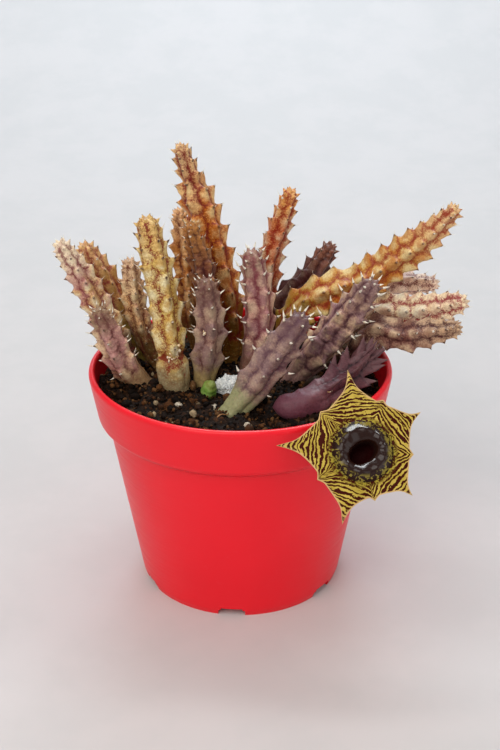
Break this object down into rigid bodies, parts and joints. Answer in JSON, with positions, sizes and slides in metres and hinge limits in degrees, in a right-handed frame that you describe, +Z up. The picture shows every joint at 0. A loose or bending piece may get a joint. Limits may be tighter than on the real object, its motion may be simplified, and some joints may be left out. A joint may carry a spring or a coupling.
{
  "type": "potted huernia",
  "caption": "Leafless succulent with ribbed, toothed stems and a striped five-lobed flower hanging over the rim of a round tapered pot filled with soil.",
  "frame": {"origin": "middle of the whole plant's bounding box in X and Y, at the height of the pot's foot; the pot's own axis stands 7.6 mm to -X and 8.0 mm to +Y of it, because the stems and the flower lean out to one side", "axes": "+Z up along the pot's axis, +X to the right of someone facing the flower, -Y towards them, on the side where the flower hangs"},
  "size_m": [0.1385, 0.121, 0.1575],
  "materials": {
    "stem_left_pink": "satin",
    "stem_left_tan": "satin",
    "stem_left_front": "satin",
    "stem_left_small": "satin",
    "stem_yellow": "satin",
    "stem_tall": "satin",
    "stem_tall_twin": "satin",
    "stem_brown": "satin",
    "stem_front_grey": "satin",
    "stem_centre": "satin",
    "stem_back_red": "satin",
    "stem_back_dark": "satin",
    "stem_long": "satin",
    "stem_front_slant": "satin",
    "stem_mid_slant": "satin",
    "stem_lying": "satin",
    "stem_right_upper": "satin",
    "stem_right_big": "satin",
    "stem_right_lower": "satin",
    "shoot_green": "satin",
    "shoot_brown": "satin",
    "petal": "satin",
    "flower_stalk": "satin",
    "white_clump": "matte",
    "perlite": "matte",
    "soil": "matte",
    "pot": "satin"
  },
  "bodies": {
    "root": {"stem_left_pink": "stem_left_pink", "stem_left_tan": "stem_left_tan", "stem_left_front": "stem_left_front", "stem_left_small": "stem_left_small", "stem_yellow": "stem_yellow", "stem_tall": "stem_tall", "stem_tall_twin": "stem_tall_twin", "stem_brown": "stem_brown", "stem_front_grey": "stem_front_grey", "stem_centre": "stem_centre", "stem_back_red": "stem_back_red", "stem_back_dark": "stem_back_dark", "stem_long": "stem_long", "stem_front_slant": "stem_front_slant", "stem_mid_slant": "stem_mid_slant", "stem_lying": "stem_lying", "stem_right_upper": "stem_right_upper", "stem_right_big": "stem_right_big", "stem_right_lower": "stem_right_lower", "shoot_green": "shoot_green", "shoot_brown": "shoot_brown", "corolla": "petal", "pedicel": "flower_stalk", "white_clump": "white_clump", "perlite_middle": "perlite", "perlite_left": "perlite", "perlite_front": "perlite", "soil": "soil", "pot": "pot"}
  },
  "joints": []
}
